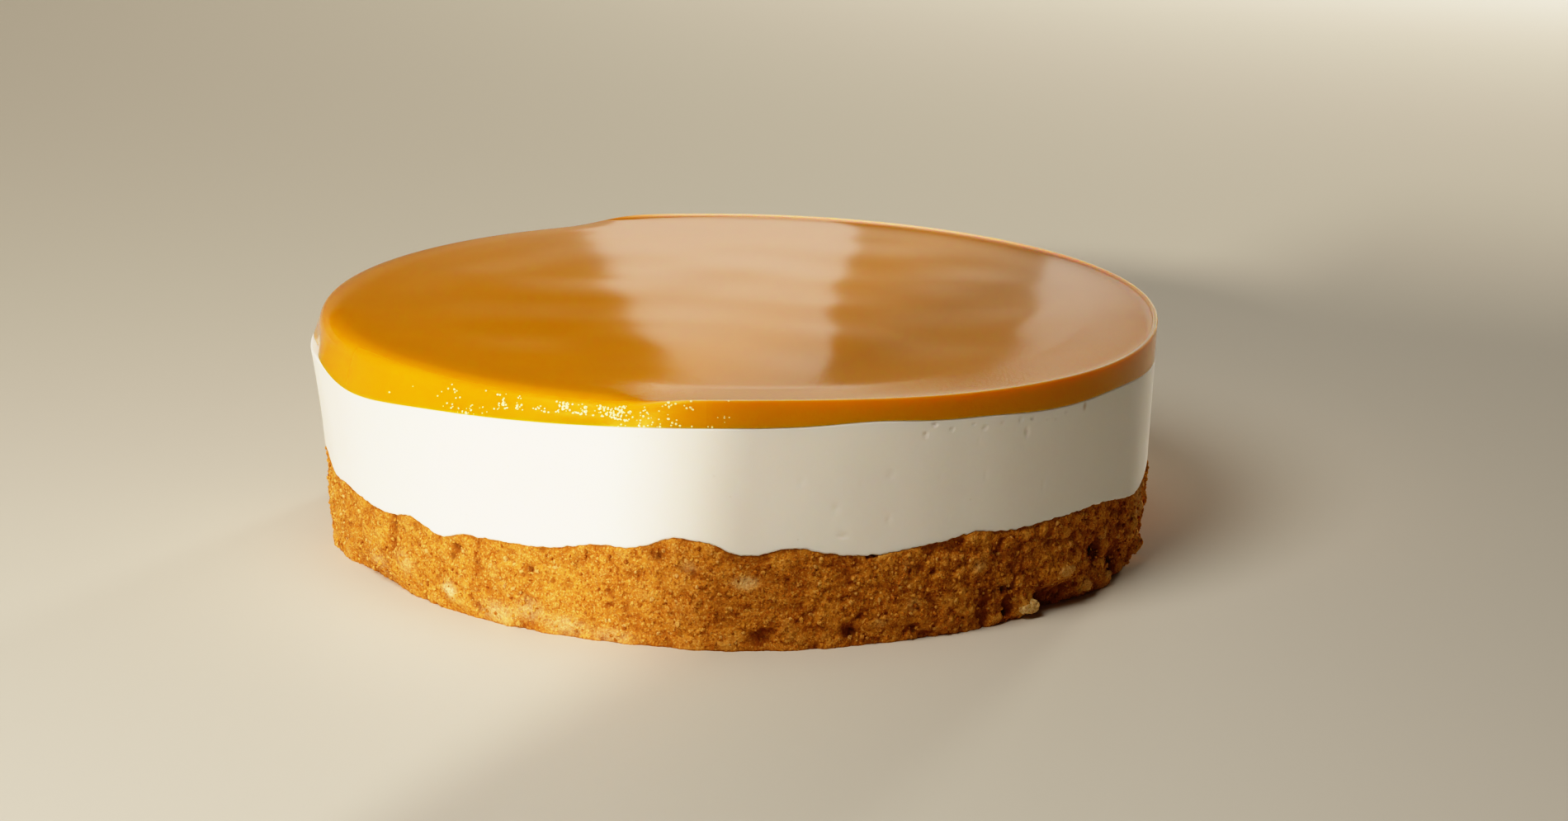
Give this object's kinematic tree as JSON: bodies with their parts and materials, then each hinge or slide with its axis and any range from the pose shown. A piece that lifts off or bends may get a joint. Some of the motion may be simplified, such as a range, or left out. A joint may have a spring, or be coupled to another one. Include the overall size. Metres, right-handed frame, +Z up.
{
  "type": "cookie butter cheesecake",
  "caption": "Round uncut cheesecake that rests on its flat foot: pressed crumb base with a wavy upper edge, white cream layer, glossy orange topping with a thin raised rim.",
  "frame": {"origin": "middle of the cake at the level of its flat foot", "axes": "+Z up, -Y towards the side that the picture shows, +X to the right of that side"},
  "size_m": [0.1836, 0.1824, 0.0519],
  "materials": {
    "crumb": "dry pressed crumb, matte and porous",
    "cream": "satin set cream with small bubbles",
    "topping": "glossy, slightly translucent jelly"
  },
  "bodies": {
    "root": {"crumb_base": "crumb", "cream_layer": "cream", "topping_layer": "topping"}
  },
  "joints": []
}
